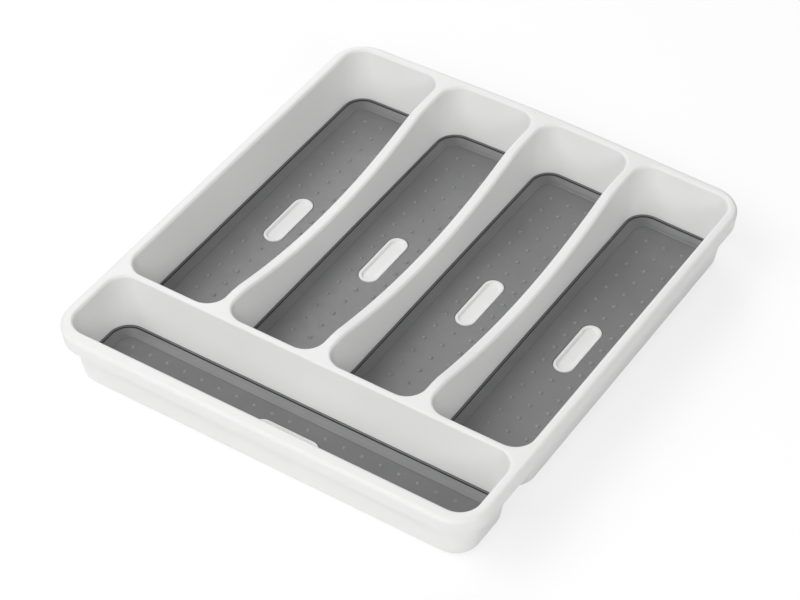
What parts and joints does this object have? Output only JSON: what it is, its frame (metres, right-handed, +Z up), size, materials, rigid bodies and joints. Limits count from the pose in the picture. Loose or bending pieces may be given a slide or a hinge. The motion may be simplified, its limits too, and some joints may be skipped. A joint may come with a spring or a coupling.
{
  "type": "drawer organizer insert",
  "caption": "Shallow moulded tray with lengthwise pockets side by side and one pocket across the front, soft coved liners on the pocket floors and a rounded skirted rim.",
  "frame": {"origin": "centre of the rim's outline seen from above, on the surface that the feet stand on", "axes": "+X across the width, +Y from the cross pocket at the front towards the back edge, +Z up"},
  "size_m": [0.318, 0.356, 0.0465],
  "materials": {
    "shell": "satin moulded white plastic with a very fine grain",
    "liner": "soft-touch matt grey rubber with small raised dots",
    "foot": "matt grey rubber"
  },
  "bodies": {
    "root": {"tray_shell": "shell", "liner_long_1": "liner", "liner_long_2": "liner", "liner_long_3": "liner", "liner_long_4": "liner", "liner_front": "liner", "foot_1": "foot", "foot_2": "foot", "foot_3": "foot", "foot_4": "foot", "foot_5": "foot", "foot_6": "foot", "foot_7": "foot", "foot_8": "foot"}
  },
  "joints": []
}
